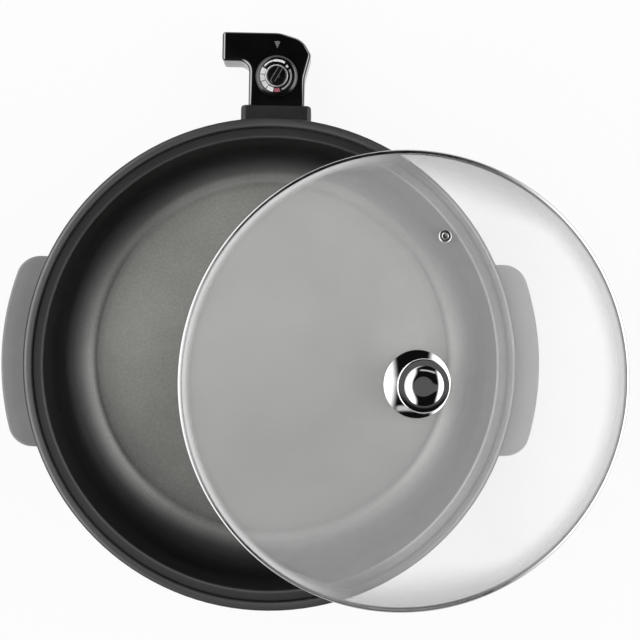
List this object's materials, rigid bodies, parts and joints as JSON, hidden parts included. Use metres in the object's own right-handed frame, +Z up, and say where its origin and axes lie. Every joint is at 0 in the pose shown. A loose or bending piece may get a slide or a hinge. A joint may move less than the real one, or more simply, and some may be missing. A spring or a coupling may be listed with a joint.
{
  "type": "electric pizza maker",
  "caption": "Shallow round electric pan with side grips, a plug-in thermostat control with a dial, and a loose domed glass lid with a polished knob lying across the pan.",
  "frame": {"origin": "on the pan's axis, on the table plane under its feet", "axes": "+Z up, +Y from the pan's axis towards the thermostat control, +X to the right, towards the lid"},
  "size_m": [0.5458, 0.5007, 0.1376],
  "materials": {
    "nonstick_coating": "dark speckled non-stick coating on cast aluminium, satin",
    "sheath_steel": "heat-tinted steel sheath",
    "plated_steel": "zinc-plated steel",
    "ceramic_white": "unglazed ceramic",
    "black_phenolic": "moulded black phenolic",
    "grip_plastic": "moulded mid-grey heat-resistant plastic",
    "control_plastic": "glossy black moulded plastic",
    "dial_plastic": "glossy black plastic with a printed scale",
    "contact_brass": "plain brass",
    "lamp_glass": "pale clear lens",
    "soft_black": "black silicone rubber",
    "polished_steel": "mirror-polished stainless steel",
    "band_steel": "bright stainless steel band",
    "lid_glass": "tempered glass with a pale veil"
  },
  "bodies": {
    "pan": {"pan_body": "nonstick_coating", "heating_element": "sheath_steel", "element_clips": "plated_steel", "clip_screws": "plated_steel", "terminal_pins": "plated_steel", "pin_beads": "ceramic_white", "socket_guard": "black_phenolic", "guard_screws": "plated_steel", "left_grip": "grip_plastic", "right_grip": "grip_plastic", "grip_screws": "plated_steel", "front_left_foot": "black_phenolic", "front_right_foot": "black_phenolic", "rear_left_foot": "black_phenolic", "rear_right_foot": "black_phenolic", "foot_screws": "plated_steel"},
    "control": {"control_base": "control_plastic", "control_cover": "control_plastic", "control_screws": "plated_steel", "temperature_probe": "sheath_steel", "contact_carrier": "ceramic_white", "contact_sleeves": "contact_brass", "thermostat_frame": "plated_steel", "bimetal_blade": "plated_steel", "spring_blade": "contact_brass", "contact_rivets": "plated_steel", "spindle_bush": "contact_brass", "pilot_lamp": "lamp_glass", "pilot_lens": "lamp_glass", "cord_inlet": "soft_black"},
    "dial": {"dial_skirt": "dial_plastic", "dial_grip": "dial_plastic", "dial_ring": "polished_steel", "dial_spindle": "plated_steel"},
    "lid": {"lid_glass": "lid_glass", "lid_band": "band_steel", "vent_eyelet": "polished_steel", "knob_foot": "polished_steel", "knob_grip": "polished_steel", "knob_gasket": "soft_black", "inner_gasket": "soft_black", "knob_washer": "plated_steel", "knob_screw": "plated_steel"}
  },
  "joints": [
    {"name": "lid_lift", "type": "slide", "parent": "pan", "child": "lid", "axis": [0, 0, 1], "range_m": [0, 0.15]},
    {"name": "control_pull", "type": "slide", "parent": "pan", "child": "control", "axis": [0, 1, 0], "range_m": [0, 0.09]},
    {"name": "dial_turn", "type": "hinge", "parent": "control", "child": "dial", "pos_m": [0, 0.2516, 0.045], "axis": [0, 0, 1], "range_deg": [-190, 45]}
  ]
}
